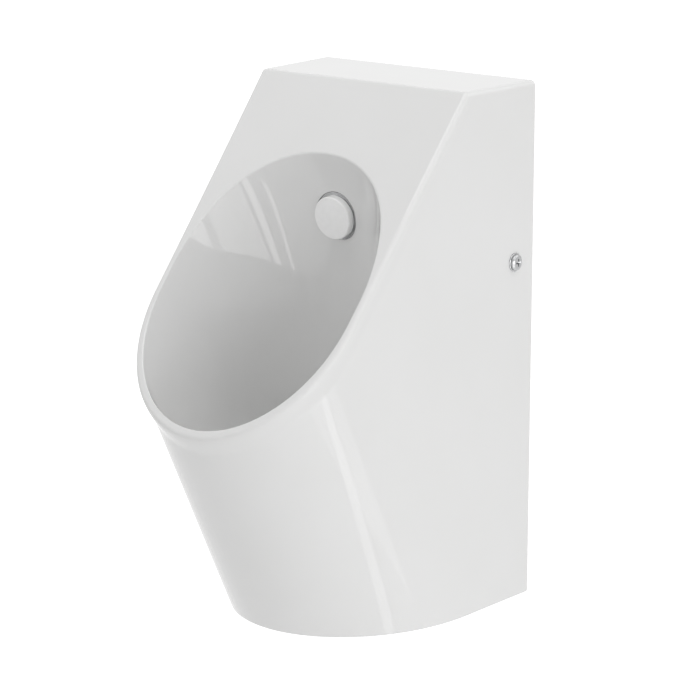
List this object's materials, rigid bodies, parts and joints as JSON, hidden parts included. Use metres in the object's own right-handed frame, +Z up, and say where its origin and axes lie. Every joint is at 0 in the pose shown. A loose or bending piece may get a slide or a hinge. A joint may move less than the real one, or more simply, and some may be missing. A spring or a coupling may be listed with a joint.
{
  "type": "wall hung urinal",
  "caption": "Wall hung ceramic urinal with a slanted open bowl, spray head, lift-out strainer and trap insert, hung on side screws and wall brackets.",
  "frame": {"origin": "centre of the four wall fixing holes, in the plane of the wall", "axes": "+Z up, +Y into the wall, front towards -Y, +X to the right of a person facing the urinal"},
  "size_m": [0.3086, 0.4596, 0.595],
  "materials": {
    "ceramic": "gloss white glaze",
    "white_plastic": "smooth white moulding",
    "grey_plastic": "matte grey moulding",
    "rubber": "matte black",
    "fibre": "matte red sealing fibre",
    "chrome": "polished",
    "brass": "turned brass",
    "stainless_steel": "brushed",
    "zinc_steel": "zinc plated"
  },
  "bodies": {
    "root": {"ceramic_body": "ceramic", "spray_body": "chrome", "spray_gasket": "rubber", "spray_washer": "rubber", "spray_lock_nut": "brass", "inlet_seal": "fibre", "inlet_union_nut": "brass", "inlet_pipe": "chrome", "wall_nipple": "brass", "waste_flange": "chrome", "waste_gasket": "rubber", "trap_top_gasket": "rubber", "trap_body": "white_plastic", "outlet_nut": "white_plastic", "outlet_seal": "rubber", "outlet_pipe": "white_plastic", "wall_bracket_left": "zinc_steel", "wall_bracket_right": "zinc_steel", "bracket_nut_left": "zinc_steel", "bracket_nut_right": "zinc_steel", "side_bush_left": "grey_plastic", "side_bush_right": "grey_plastic", "side_collar_left": "chrome", "side_collar_right": "chrome"},
    "spray_cap": {"spray_cap": "white_plastic"},
    "trap_insert": {"trap_insert": "white_plastic", "insert_ring": "rubber"},
    "strainer": {"strainer": "stainless_steel"},
    "side_screw_left": {"side_screw_left": "chrome"},
    "side_screw_right": {"side_screw_right": "chrome"}
  },
  "joints": [
    {"name": "trap_insert_lift", "type": "slide", "parent": "root", "child": "trap_insert", "axis": [0, 0, 1], "range_m": [0, 0.12]},
    {"name": "strainer_lift", "type": "slide", "parent": "trap_insert", "child": "strainer", "axis": [0, 0, 1], "range_m": [0, 0.12]},
    {"name": "spray_cap_pull", "type": "slide", "parent": "root", "child": "spray_cap", "axis": [0, -0.99, -0.1409], "range_m": [0, 0.015]},
    {"name": "side_screw_left_turn", "type": "hinge", "parent": "root", "child": "side_screw_left", "pos_m": [-0.1495, -0.0335, 0], "axis": [-1, 0, 0], "continuous": true},
    {"name": "side_screw_right_turn", "type": "hinge", "parent": "root", "child": "side_screw_right", "pos_m": [0.1495, -0.0335, 0], "axis": [1, 0, 0], "continuous": true}
  ]
}
